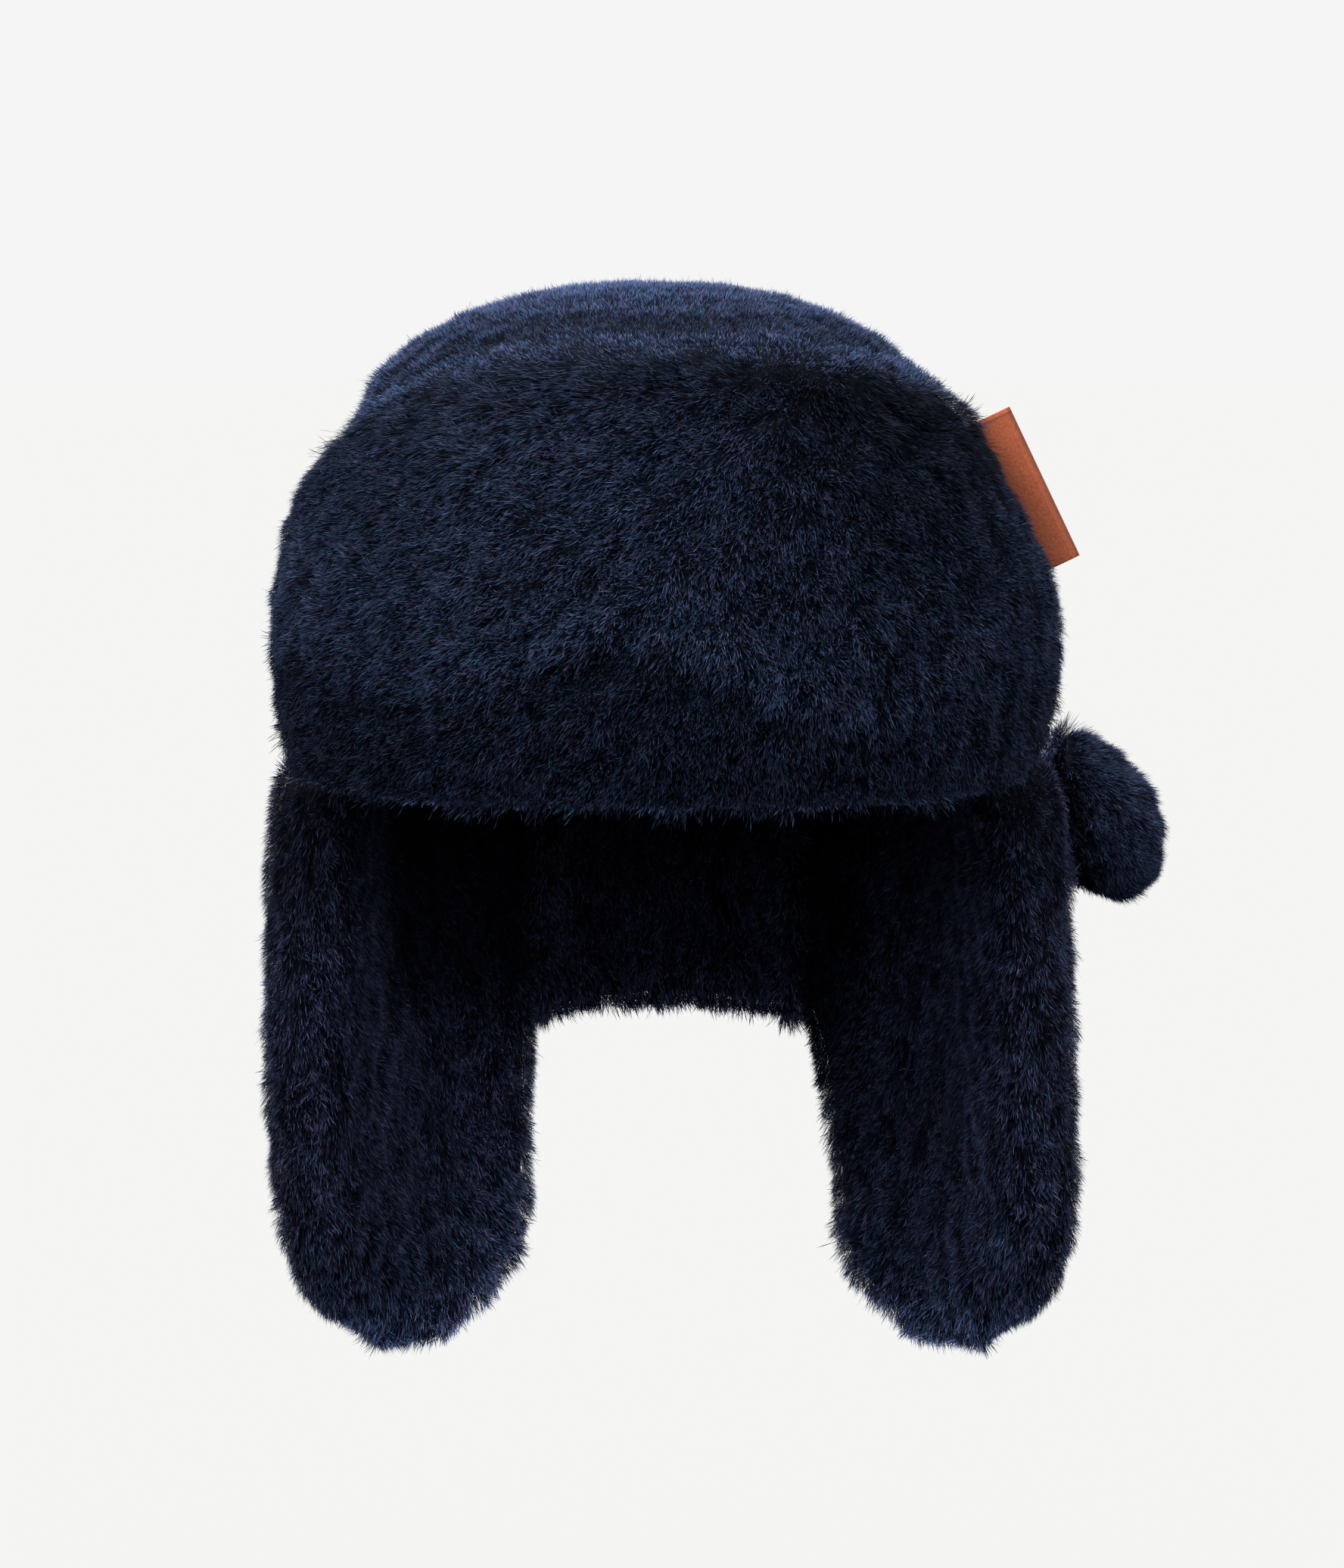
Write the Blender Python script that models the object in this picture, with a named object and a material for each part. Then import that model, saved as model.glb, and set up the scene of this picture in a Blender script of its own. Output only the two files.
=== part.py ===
"""Aviator hat of deep plush fur cloth: a hollow crown, a turned-up front flap, two ear flaps, a neck
flap, a stubby side tab and a folded leather label.

The origin is the middle of the head opening at the brow line. The hat faces -Y, +Z is up and +X is
the wearer's left. Lengths are in millimetres here, and solid() turns them into metres. Every face
of fur ends in staggered locks, which are cut into the outer form and never stand proud of it.
"""

import math

import bmesh
import bpy
import numpy as np
from mathutils import Matrix, Vector

MM = 0.001
SEWN_GAP = 0.4  # room between two pieces that are sewn to each other
HOLLOW_HALF_WIDTH = 81.0  # the head's hollow at the brow line
HOLLOW_HALF_LENGTH = 101.0


def table(columns, *rows):
    """A table with named columns, one row for each section."""
    return dict(zip(columns.split(), np.array(rows, float).T))


# The head's hollow and the crown's outer form, from the hem up. front and back are the distances
# from the middle to the forehead side and to the neck side, and lean moves a section along X.
HOLLOW = table(
    "z half_width front back lean",
    (0, HOLLOW_HALF_WIDTH, HOLLOW_HALF_LENGTH, HOLLOW_HALF_LENGTH, 0),
    (40, 80, 100, 100, -1),
    (70, 75, 94, 95, -2),
    (90, 66, 83, 85, -3),
    (103, 52, 67, 69, -4),
    (111, 36, 48, 50, -4),
    (116, 16, 22, 23, -4),
)
HOLLOW_TOP = 117.5
CROWN = table(
    "z half_width front back lean",
    (0, 107, 115, 123, 0),
    (22, 105.5, 116, 122.5, 0),
    (50, 102, 115, 120, -1),
    (75, 97, 112, 115.5, -2),
    (90, 92, 108, 110.5, -3),
    (101, 87, 102.5, 105, -4),
    (112, 80.3, 94.5, 97, -5),
    (121, 71, 84, 86.5, -5),
    (127.7, 59.4, 70, 72.5, -5),
    (132.2, 48, 57, 59, -5),
    (135.6, 34, 41, 42, -4),
    (137.3, 18, 22, 23, -4),
)
CROWN_TOP = 137.8
CROWN_COLUMNS, CROWN_OUTER_ROWS, CROWN_INNER_ROWS = 60, 19, 8

# The hem is lower at the forehead, and rises over HEM_RISE_FROM to HEM_RISE_TO along Y.
HEM_FRONT_Z, HEM_BACK_Z = -6.0, 0.0
HEM_RISE_FROM, HEM_RISE_TO = -40.0, -20.0

# The front flap: its outer face at each height, and its height at each angle round the forehead.
FLAP_MIDDLE_Y = -30.0
FLAP_WALL = table(
    "z half_width front",
    (-7, 109, 127),
    (5, 112, 133),
    (20, 114, 136.5),
    (33, 114.6, 138),
    (46, 114, 138),
    (59, 112.4, 136.5),
    (72, 109.6, 134),
    (85, 104.3, 130),
    (100, 95, 124),
    (112, 87, 117.5),
    (125, 79, 110),
)
FLAP_EDGES = table(
    "angle left_top right_top left_bottom right_bottom",
    (0, 124.2, 124.2, -7.4, -7.4),
    (20, 124, 124.6, -7.4, -7.4),
    (32, 122, 124, -7.4, -7.4),
    (45, 117.5, 121.5, -7.2, -7.2),
    (57, 113.5, 118.5, -6.6, -6.2),
    (68, 108, 114.5, -5.8, -4.8),
    (78, 101, 106.5, -4.4, -1),
    (87, 91, 94.5, 1, 6),
    (94, 79, 81, 10, 15),
    (99, 64, 66, 24, 27),
)
FLAP_CENTRE = (0, FLAP_MIDDLE_Y, 50)  # the middle of the room that it wraps round
FLAP_THICKNESS = 21.0  # where it stands free of the crown
FLAP_ROOM = 0.7  # between the flap's back and the crown
FLAP_RIM_RADIUS, FLAP_END_ANGLE, FLAP_END_ROUNDING = 11.0, 99.0, 16.0
FLAP_STATIONS, FLAP_SIDE_POINTS, FLAP_END_CROWDING = 47, 16, 0.45

# The label's stitches draw the flap's side in, less and less over FLAP_DRAWN_SPREAD degrees round.
FLAP_DRAWN_IN = table(
    "z depth",
    (50, 0),
    (57, 1.7),
    (65, 3.6),
    (73, 6.3),
    (81, 7),
    (89, 6.8),
    (96, 3.8),
    (104, 0),
)
FLAP_DRAWN_ANGLE, FLAP_DRAWN_SPREAD = 89.0, 45.0

# An ear flap on the wearer's right, as sections from its root to its tip. A section runs from the
# flap's front edge to its rear edge, bows outward by bow, and half is half its thickness. The other
# flap is its mirror image, moved out by the columns left_front and left_rear.
EAR = table(
    "z front_x front_y rear_x rear_y bow half left_front left_rear",
    (-1, -90, -50, -40.3, 104, 30, 14.5, 1, 0),
    (-16, -93, -48, -40.3, 104, 28, 17.5, 2, 0),
    (-45, -97, -45, -40.3, 102, 25, 18, 2, 0.5),
    (-75, -99.5, -41, -40.3, 98, 23, 18.5, 1.5, 3),
    (-100, -101, -37, -39.5, 93, 21, 18.5, 2, 7),
    (-122, -101.5, -32, -39.5, 86, 19, 18.5, 4, 9.5),
    (-138, -100.5, -25, -40.5, 79, 17, 18.5, 5.5, 10),
    (-150, -99, -17, -42.5, 71, 15, 18, 6.5, 8.5),
    (-160, -97, -6, -47, 61, 12, 17, 8, 7.5),
    (-168, -92, 6, -54, 49, 8, 14, 8, 8),
    (-173, -84, 17, -64, 38, 4, 8, 9, 9),
)
EAR_ROWS, EAR_SIDE_POINTS = 21, 17
EAR_FRONT_ROUNDING, EAR_REAR_ROUNDING, EAR_SEAM_ROUNDING = 17.0, 15.0, 4.0
SEAM_OPENS = 14.0  # below the neck flap's hem, where the rear edge gets round
MOST_ROUNDING = 0.45  # of a section's length, at either end
NECK_HALF_WIDTH = 39.8

# The neck flap's upright section, from its seam to its hem, seen at the middle of the back.
NECK = table(
    "z inner outer",
    (-1, 101, 121.5),
    (-25, 100.5, 124),
    (-50, 99, 123),
    (-70, 97, 120),
    (-87, 96, 117),
)
NECK_HEM_Z, NECK_HEM_ARCH, NECK_HEM_RADIUS = -86.5, 3.0, 9.0
NECK_STATIONS, NECK_SIDE_POINTS = 23, 11
NECK_CENTRE = (0, 90, -40)  # a point inside it
FOLD_FADE = 0.13  # the share of the height over which the folds die away at the seam and the hem
NECK_FOLDS = table(  # soft upright folds on the inner face
    "seam_x hem_x half_width height",
    (-34, -35, 4, 5),
    (-25, -24, 5, 5.5),
    (-9, -3, 5, 2.5),
    (12, 4, 4.5, 2.5),
    (22, 18, 5, 5.5),
    (34, 33, 5, 6),
)

# The side tab, as sections along its bent middle line.
TAB = table(
    "x y z half_thick half_wide",
    (104, 21, 1.5, 10, 16),
    (109, 21, -1.5, 13.5, 19),
    (116, 21, -6, 16.2, 21.5),
    (122.3, 21, -12.5, 18, 23),
    (127, 21, -20, 19, 23.5),
    (130, 21, -28, 18, 22.5),
    (132.5, 21, -36, 13.5, 17),
    (133.6, 21, -41, 7.5, 10),
)
TAB_ROWS, TAB_POINTS = 15, 18
TAB_TIP = 3.0  # how far its end bulges past the last section

# The label is a strip of leather folded along its outer side, and its leaves stand in a pocket in
# the flap's side seam.
LABEL_LENGTH, LABEL_WIDTH, LEATHER_THICKNESS, LABEL_OPEN = 47.0, 15.3, 1.5, 1.6
LABEL_OUTER_MIDDLE = (108.3, -27.0, 81.0)  # the middle of its folded side
LABEL_SLOPE = 64.5  # degrees below level of its long side
LABEL_ROOM = 0.35
FOLD_STEPS = 6

# Fur locks: how deep the dips between them are, at a lock's tip, its root and beside it.
LOCK_DEPTH, LOCK_ROOT, LOCK_BESIDE = 3.0, 0.4, 0.75
LOCK_MOST = 0.4  # of the piece's thickness
LOCK_FADE_RADIUS = 60.0  # locks get shallow within this of the crown's middle
HEM_LOCK = 4.0  # how far every other lock hangs at a hem

NAVY, NAVY_PALE, NAVY_DARK, TAN = (
    (0.012, 0.016, 0.030),
    (0.017, 0.023, 0.042),
    (0.007, 0.009, 0.017),
    (0.434, 0.107, 0.048),
)


def through(rows, steps, at):
    """A smooth curve through rows of values that lie at steps, read at the given places."""
    slopes = np.gradient(rows, steps, axis=0)
    i = np.clip(np.searchsorted(steps, at, side="right") - 1, 0, len(steps) - 2)
    width = (steps[i + 1] - steps[i])[:, None]
    t = ((at - steps[i])[:, None] / width).clip(0, 1)
    a, b, c, d = rows[i], rows[i + 1], slopes[i] * width, slopes[i + 1] * width
    return a + t * c + t**2 * (3 * (b - a) - 2 * c - d) + t**3 * (2 * (a - b) + c + d)


def read(tab, column, at):
    """Every column of a table at the given values of one that rises from row to row."""
    values = np.array(list(tab.values())).T
    rows = through(values, tab[column], np.atleast_1d(np.asarray(at, float)))
    return dict(zip(tab, rows.T))


def spaced(tab, count):
    """The table's rows, put at even steps along the path through its own points."""
    values = np.array(list(tab.values())).T
    path = np.concatenate([[0], np.cumsum(np.linalg.norm(np.diff(values, axis=0), axis=1))])
    return dict(zip(tab, through(values, path, np.linspace(0, path[-1], count)).T))


def smoothstep(low, high, value):
    t = np.clip((value - low) / (high - low), 0, 1)
    return t * t * (3 - 2 * t)


def toward_ends(count):
    """count places from 0 to 1, closer together near both ends and not quite reaching them."""
    return (1 - np.cos(math.pi * (np.arange(count) + 0.5) / count)) / 2


def hem_height(y):
    return HEM_FRONT_Z + (HEM_BACK_Z - HEM_FRONT_Z) * smoothstep(HEM_RISE_FROM, HEM_RISE_TO, y)


def rounded(place, length, start_radius, end_radius):
    """The share of full thickness at a place from 0 to 1 along a pad with rounded ends."""
    power = np.where(place < 0.5, length / (2 * start_radius), length / (2 * end_radius))
    return np.sqrt(1 - np.abs(2 * place - 1) ** power)


def facing(grid, wraps):
    """The unit normals of a grid of points. wraps says whether its columns close into a ring."""
    if wraps:
        across = np.roll(grid, -1, axis=1) - np.roll(grid, 1, axis=1)
    else:
        across = np.gradient(grid, axis=1)
    normals = np.cross(across, np.gradient(grid, axis=0))
    return normals / np.linalg.norm(normals, axis=2, keepdims=True)


def with_locks(grid, outward, wraps=False, depth=LOCK_DEPTH, columns=1):
    """The grid with locks cut into it. A lock is two rows long, its ridge and the dip beside it are
    as many columns wide as given, and every other row of locks is shifted by a ridge. outward is a
    point, or a grid of them, that the face looks away from."""
    row, column = np.indices(grid.shape[:2])
    ridge = (column // columns + row // 2) % 2 == 0
    tip = row % 2 == 1
    share = np.where(ridge, np.where(tip, 0, LOCK_ROOT), np.where(tip, LOCK_BESIDE, 1))
    normals = facing(grid, wraps)
    away = (grid - outward).reshape(-1, 3)
    if (normals.reshape(-1, 3) * away).sum() < 0:
        normals = -normals
    return grid - normals * (share * depth)[..., None]


def lock_depth(outer, inner):
    """How deep locks are in a piece's faces, less where it is thin."""
    return np.minimum(LOCK_DEPTH, LOCK_MOST * np.linalg.norm(outer - inner, axis=2))


def material(name, colour, roughness):
    made = bpy.data.materials.new(name)
    made.use_nodes = True
    surface = made.node_tree.nodes["Principled BSDF"]
    surface.inputs["Base Color"].default_value = (*colour, 1)
    surface.inputs["Roughness"].default_value = roughness
    surface.inputs["Metallic"].default_value = 0.0
    made.diffuse_color = (*colour, 1)
    return made


def placed(name, mesh, colour, roughness, collection):
    made = bpy.data.objects.new(name, mesh)
    made.data.materials.append(material(f"{name}_material", colour, roughness))
    collection.objects.link(made)
    return made


def solid(name, rings, caps, colour, collection):
    """One closed body lofted through rings of as many points each. A cap is "pole", a fan to the
    point given after it, or "ladder", which joins a ring's first half to its second."""
    bm = bmesh.new()
    rows = [[bm.verts.new(Vector(p) * MM) for p in ring] for ring in rings]
    count = len(rows[0])
    for low, high in zip(rows, rows[1:]):
        for k in range(count):
            after = (k + 1) % count
            bm.faces.new((low[k], low[after], high[after], high[k]))
    for row, (kind, point) in ((rows[0], caps[0]), (rows[-1], caps[1])):
        if kind == "pole":
            top = bm.verts.new(Vector(point) * MM)
            for k in range(count):
                bm.faces.new((row[k], row[(k + 1) % count], top))
        else:
            for k in range(count // 2 - 1):
                bm.faces.new((row[k], row[k + 1], row[-2 - k], row[-1 - k]))
    bmesh.ops.recalc_face_normals(bm, faces=bm.faces)
    bmesh.ops.triangulate(bm, faces=bm.faces)
    mesh = bpy.data.meshes.new(name)
    bm.to_mesh(mesh)
    bm.free()
    mesh.shade_smooth()
    return placed(name, mesh, colour, 0.9, collection)


LADDER = ("ladder", None)


def dome(rows, angles):
    """The points of a dome's sections, as rows of rings round the head."""
    sine, cosine = np.sin(angles), np.cos(angles)
    depth = np.where(cosine > 0, rows["front"][:, None], rows["back"][:, None])
    x = rows["lean"][:, None] + rows["half_width"][:, None] * sine
    return np.stack([x, -depth * cosine, np.broadcast_to(rows["z"][:, None], x.shape)], axis=2)


def crown(collection):
    angles = np.arange(CROWN_COLUMNS) * 2 * math.pi / CROWN_COLUMNS
    inner = dome(spaced(HOLLOW, CROWN_INNER_ROWS), angles)
    outer_rows = spaced(CROWN, CROWN_OUTER_ROWS)
    outer = dome(outer_rows, angles)
    near_top = smoothstep(0, LOCK_FADE_RADIUS, outer_rows["half_width"])[:, None]
    outer = with_locks(outer, (0, 0, 0), wraps=True, depth=LOCK_DEPTH * near_top)
    inner[0, :, 2] = hem_height(inner[0, :, 1])
    outer[0, :, 2] = hem_height(outer[0, :, 1])
    rings = [*inner[::-1], *outer]
    lean = HOLLOW["lean"][-1]
    caps = ("pole", (lean, 0, HOLLOW_TOP)), ("pole", (CROWN["lean"][-1], 0, CROWN_TOP))
    return solid("crown", rings, caps, NAVY_PALE, collection)


def crown_side(y, z, room):
    """The crown's middle and its reach to either side at places (y, z), with room added to it."""
    row = read(CROWN, "z", np.clip(z, CROWN["z"][0], CROWN["z"][-1]))
    depth = np.where(y < 0, row["front"], row["back"]) + room
    return row["lean"], (row["half_width"] + room) * np.sqrt((1 - (y / depth) ** 2).clip(0, 1))


def front_flap(collection):
    even = np.linspace(0, 1, FLAP_STATIONS)
    share = FLAP_END_CROWDING * toward_ends(FLAP_STATIONS) + (1 - FLAP_END_CROWDING) * even
    spread = FLAP_END_ANGLE * (2 * share - 1)
    place = toward_ends(FLAP_SIDE_POINTS)
    outers, inners = [], []
    for degrees in spread:
        edge = read(FLAP_EDGES, "angle", abs(degrees))
        side = "left" if degrees < 0 else "right"
        low, high = edge[f"{side}_bottom"][0], edge[f"{side}_top"][0]
        z = low + (high - low) * place
        wall = read(FLAP_WALL, "z", z)
        sine, cosine = math.sin(math.radians(degrees)), math.cos(math.radians(degrees))
        off = abs(degrees - FLAP_DRAWN_ANGLE) / FLAP_DRAWN_SPREAD
        drawn_in = read(FLAP_DRAWN_IN, "z", z)["depth"] * (1 - smoothstep(0, 1, off))
        out = np.stack([(wall["half_width"] - drawn_in) * sine,
                        FLAP_MIDDLE_Y - (wall["front"] + FLAP_MIDDLE_Y) * cosine], axis=1)
        row = read(CROWN, "z", z.clip(CROWN["z"][0], CROWN["z"][-1]))
        y = FLAP_MIDDLE_Y - (row["front"] + FLAP_ROOM + FLAP_MIDDLE_Y) * cosine
        lean, reach = crown_side(y, z, FLAP_ROOM)
        back = np.stack([lean + math.copysign(1, sine) * reach, y], axis=1)
        thick = np.linalg.norm(out - back, axis=1)
        back = out + (back - out) * np.minimum(1, FLAP_THICKNESS / thick)[:, None]
        share = rounded(place, high - low, FLAP_RIM_RADIUS, FLAP_RIM_RADIUS)
        past = max(0, abs(degrees) - (FLAP_END_ANGLE - FLAP_END_ROUNDING)) / FLAP_END_ROUNDING
        share = share * math.sqrt(1 - past**2)
        middle, half = (out + back) / 2, (out - back) / 2
        outers.append(np.column_stack([middle + half * share[:, None], z]))
        inners.append(np.column_stack([middle - half * share[:, None], z]))
    outer, inner = np.array(outers), np.array(inners)
    outer = with_locks(outer, FLAP_CENTRE, depth=lock_depth(outer, inner))
    rings = np.concatenate([outer, inner[:, ::-1]], axis=1)
    return solid("front_flap", rings, (LADDER, LADDER), NAVY, collection)


def ear_sections(left):
    """The outer and inner faces of one ear flap, as grids of points from its root to its tip."""
    rows = spaced(EAR, EAR_ROWS)
    place = toward_ends(EAR_SIDE_POINTS)[:, None]
    outers, inners = [], []
    for k in range(EAR_ROWS):
        row = {name: values[k] for name, values in rows.items()}
        front = np.array([row["front_x"] - left * row["left_front"], row["front_y"]])
        rear = np.array([row["rear_x"] - left * row["left_rear"], row["rear_y"]])
        chord = rear - front
        length = np.linalg.norm(chord)
        aside = np.array([-chord[1], chord[0]]) / length
        line = front + chord * place + 4 * row["bow"] * place * (1 - place) * aside
        heading = chord + 4 * row["bow"] * (1 - 2 * place) * aside
        heading /= np.linalg.norm(heading, axis=1, keepdims=True)
        normal = np.column_stack([-heading[:, 1], heading[:, 0]])
        seam = smoothstep(NECK_HEM_Z - SEAM_OPENS, NECK_HEM_Z, row["z"])
        rear_radius = EAR_REAR_ROUNDING + (EAR_SEAM_ROUNDING - EAR_REAR_ROUNDING) * seam
        most = length * MOST_ROUNDING
        half = row["half"] * rounded(
            place, length, min(EAR_FRONT_ROUNDING, most), min(rear_radius, most))
        z = np.full(len(place), row["z"])
        outers.append(np.column_stack([line + normal * half, z]))
        inners.append(np.column_stack([line - normal * half, z]))
    return np.array(outers), np.array(inners)


def ear_flap(name, left, collection):
    outer, inner = ear_sections(left)
    middle = (outer + inner) / 2
    for grid in (outer, inner):
        grid[:] = with_locks(grid, middle)
        grid[0, :, 2] = hem_height(grid[0, :, 1]) - 1.5 * SEWN_GAP
        grid[..., 0] = np.minimum(grid[..., 0], -NECK_HALF_WIDTH - SEWN_GAP)
        grid[-1, ::2, 2] -= HEM_LOCK
    rings = np.concatenate([outer, inner[:, ::-1]], axis=1)
    if left:
        rings[..., 0] *= -1
    return solid(name, rings, (LADDER, LADDER), NAVY_DARK, collection)


def neck_flap(collection):
    place = toward_ends(NECK_SIDE_POINTS)
    outers, inners = [], []
    for x in np.linspace(-NECK_HALF_WIDTH, NECK_HALF_WIDTH, NECK_STATIONS):
        hem = NECK_HEM_Z + NECK_HEM_ARCH * (1 - (x / NECK_HALF_WIDTH) ** 2)
        top = -1.5 * SEWN_GAP
        z = top + (hem - top) * place
        row = read(NECK, "z", z[::-1])
        inner = row["inner"][::-1] * math.sqrt(1 - (x / HOLLOW_HALF_WIDTH) ** 2)
        outer = row["outer"][::-1] * math.sqrt(1 - (x / CROWN["half_width"][0]) ** 2)
        middle, half = (outer + inner) / 2, (outer - inner) / 2
        share = rounded(place, top - hem, EAR_SEAM_ROUNDING, NECK_HEM_RADIUS)
        down = smoothstep(0, 1, place)
        fold = sum(
            height * np.exp(-(((x - seam_x - (hem_x - seam_x) * down) / width) ** 2))
            for seam_x, hem_x, width, height in zip(*NECK_FOLDS.values())
        )
        fold = fold * smoothstep(0, FOLD_FADE, place) * smoothstep(0, FOLD_FADE, 1 - place)
        column = np.full(len(z), x)
        outers.append(np.column_stack([column, middle + half * share, z]))
        inners.append(np.column_stack([column, middle - half * share - fold, z]))
    outer = with_locks(np.array(outers), NECK_CENTRE, columns=2)
    outer[..., 0] = outer[..., 0].clip(-NECK_HALF_WIDTH, NECK_HALF_WIDTH)
    outer[::2, -1, 2] -= HEM_LOCK
    rings = [np.concatenate([o, i[::-1]]) for o, i in zip(outer, inners)]
    return solid("neck_flap", rings, (LADDER, LADDER), NAVY_DARK, collection)


def ear_reach(y, z):
    """How far out the wearer's left ear flap stands at places (y, z)."""
    outer, _ = ear_sections(True)
    heights = -outer[:, 0, 2]
    reach = [np.interp(y, row[:, 1], -row[:, 0]) for row in outer]
    return np.array([np.interp(-c, heights, [r[k] for r in reach]) for k, c in enumerate(z)])


def chin_tab(collection):
    rows = spaced(TAB, TAB_ROWS)
    line = np.stack([rows["x"], rows["y"], rows["z"]], axis=1)
    heading = np.gradient(line, axis=0)
    heading /= np.linalg.norm(heading, axis=1, keepdims=True)
    up = np.cross(heading, (0, 1, 0))
    around = np.arange(TAB_POINTS) * 2 * math.pi / TAB_POINTS
    thick = rows["half_thick"][:, None, None] * np.cos(around)[:, None] * up[:, None]
    wide = rows["half_wide"][:, None, None] * np.sin(around)[:, None] * np.array([0, 1, 0])
    grid = with_locks(line[:, None] + thick + wide, line[:, None], wraps=True)
    for ring in grid:
        y, z = ring[:, 1], ring[:, 2]
        lean, width = crown_side(y, z, 0)
        side = np.maximum(np.where(z > HEM_BACK_Z - LOCK_DEPTH, lean + width, 0), ear_reach(y, z))
        ring[:, 0] = np.maximum(ring[:, 0], side + 2 * SEWN_GAP)
    caps = ("pole", grid[0].mean(axis=0)), ("pole", line[-1] + heading[-1] * TAB_TIP)
    return solid("chin_tab", grid, caps, NAVY, collection)


def label_place():
    """The label's own frame: X across to its folded side, Y through its leaves, Z along it."""
    slope = math.radians(LABEL_SLOPE)
    along = Vector((math.cos(slope), 0, -math.sin(slope)))
    across = Vector((math.sin(slope), 0, math.cos(slope)))
    through_it = along.cross(across)
    turn = Matrix((across, through_it, along)).transposed().to_4x4()
    return Matrix.Translation(Vector(LABEL_OUTER_MIDDLE) * MM) @ turn


def label(collection):
    """The folded strip, as the flat outline of its section raised along its length."""
    outline = bpy.data.curves.new("label_outline", "CURVE")
    outline.dimensions = "2D"
    outline.fill_mode = "BOTH"
    outline.extrude = LABEL_LENGTH / 2 * MM
    outer_radius = LABEL_OPEN / 2 + LEATHER_THICKNESS
    bend = np.linspace(math.pi / 2, -math.pi / 2, FOLD_STEPS + 1)
    points = [(-LABEL_WIDTH, outer_radius)]
    points += [(outer_radius * (math.cos(a) - 1), outer_radius * math.sin(a)) for a in bend]
    points += [(-LABEL_WIDTH, -outer_radius), (-LABEL_WIDTH, -LABEL_OPEN / 2)]
    points += [(LABEL_OPEN / 2 * math.cos(a) - outer_radius, LABEL_OPEN / 2 * math.sin(a))
               for a in bend[::-1]]
    points += [(-LABEL_WIDTH, LABEL_OPEN / 2)]
    spline = outline.splines.new("POLY")
    spline.points.add(len(points) - 1)
    for point, (x, y) in zip(spline.points, points):
        point.co = (x * MM, y * MM, 0, 1)
    spline.use_cyclic_u = True
    shape = bpy.data.objects.new("label_outline", outline)
    collection.objects.link(shape)
    bpy.context.view_layer.update()
    mesh = bpy.data.meshes.new_from_object(
        shape.evaluated_get(bpy.context.evaluated_depsgraph_get()))
    bpy.data.objects.remove(shape)
    bm = bmesh.new()
    bm.from_mesh(mesh)
    bmesh.ops.remove_doubles(bm, verts=bm.verts, dist=0.01 * MM)
    bm.to_mesh(mesh)
    bm.free()
    made = placed("label", mesh, TAN, 0.55, collection)
    made.matrix_world = label_place()
    return made


def label_pocket(flap, cutters):
    """Cuts the pocket that the label's leaves stand in out of the front flap."""
    thick = LABEL_OPEN + 2 * (LEATHER_THICKNESS + LABEL_ROOM)
    bpy.ops.mesh.primitive_cube_add(size=1)
    pocket = bpy.context.object
    pocket.name = "label_pocket"
    width = LABEL_WIDTH + 3 * LABEL_ROOM
    pocket.data.transform(
        Matrix.Diagonal((width * MM, thick * MM, (LABEL_LENGTH + 2 * LABEL_ROOM) * MM, 1)))
    pocket.data.transform(Matrix.Translation((-(LABEL_WIDTH - LABEL_ROOM) / 2 * MM, 0, 0)))
    pocket.matrix_world = label_place()
    for home in pocket.users_collection:
        home.objects.unlink(pocket)
    cutters.objects.link(pocket)
    pocket.display_type = "WIRE"
    pocket.hide_render = True
    cut = flap.modifiers.new("label_pocket", "BOOLEAN")
    cut.operation = "DIFFERENCE"
    cut.solver = "EXACT"
    cut.object = pocket


def main():
    for thing in list(bpy.data.objects):
        bpy.data.objects.remove(thing)
    hat = bpy.data.collections.new("aviator_hat")
    cutters = bpy.data.collections.new("cutters")
    for collection in (hat, cutters):
        bpy.context.scene.collection.children.link(collection)
    crown(hat)
    flap = front_flap(hat)
    ear_flap("ear_flap_right", False, hat)
    ear_flap("ear_flap_left", True, hat)
    neck_flap(hat)
    chin_tab(hat)
    label(hat)
    label_pocket(flap, cutters)


main()
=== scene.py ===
import itertools
import math

import bmesh
import bpy
import numpy as np
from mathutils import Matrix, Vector
from mathutils.bvhtree import BVHTree


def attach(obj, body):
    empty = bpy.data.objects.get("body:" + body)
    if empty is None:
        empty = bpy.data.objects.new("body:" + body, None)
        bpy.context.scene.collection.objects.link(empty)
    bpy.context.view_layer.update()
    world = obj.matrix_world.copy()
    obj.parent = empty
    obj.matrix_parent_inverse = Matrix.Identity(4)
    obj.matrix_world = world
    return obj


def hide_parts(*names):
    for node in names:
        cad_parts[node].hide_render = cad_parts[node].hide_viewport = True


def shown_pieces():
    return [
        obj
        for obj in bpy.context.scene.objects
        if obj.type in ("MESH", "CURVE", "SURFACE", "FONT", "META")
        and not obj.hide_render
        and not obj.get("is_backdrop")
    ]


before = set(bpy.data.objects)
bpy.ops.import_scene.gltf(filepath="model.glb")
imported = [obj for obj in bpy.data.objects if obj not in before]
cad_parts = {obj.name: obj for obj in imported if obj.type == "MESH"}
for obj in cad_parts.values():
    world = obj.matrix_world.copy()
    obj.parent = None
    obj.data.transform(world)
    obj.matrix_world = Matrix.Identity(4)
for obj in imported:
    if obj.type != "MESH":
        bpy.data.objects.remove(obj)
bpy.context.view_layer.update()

MM = 0.001
UP = np.array([0.0, 0.0, 1.0])

# Photograph: its size, the real width of one pixel at the hat's middle, and the pixel that shows the origin
PHOTO_WIDTH, PHOTO_HEIGHT = 1776, 2072
PIXEL = 0.22 * MM
ORIGIN_ACROSS, ORIGIN_DOWN = 880, 1000.6
# Camera: how far off it is, how steeply it looks down, and its sensor's longer side in millimetres
CAMERA_DISTANCE = 2.0
CAMERA_ELEVATION = math.radians(4)
SENSOR = 36.0

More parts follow.
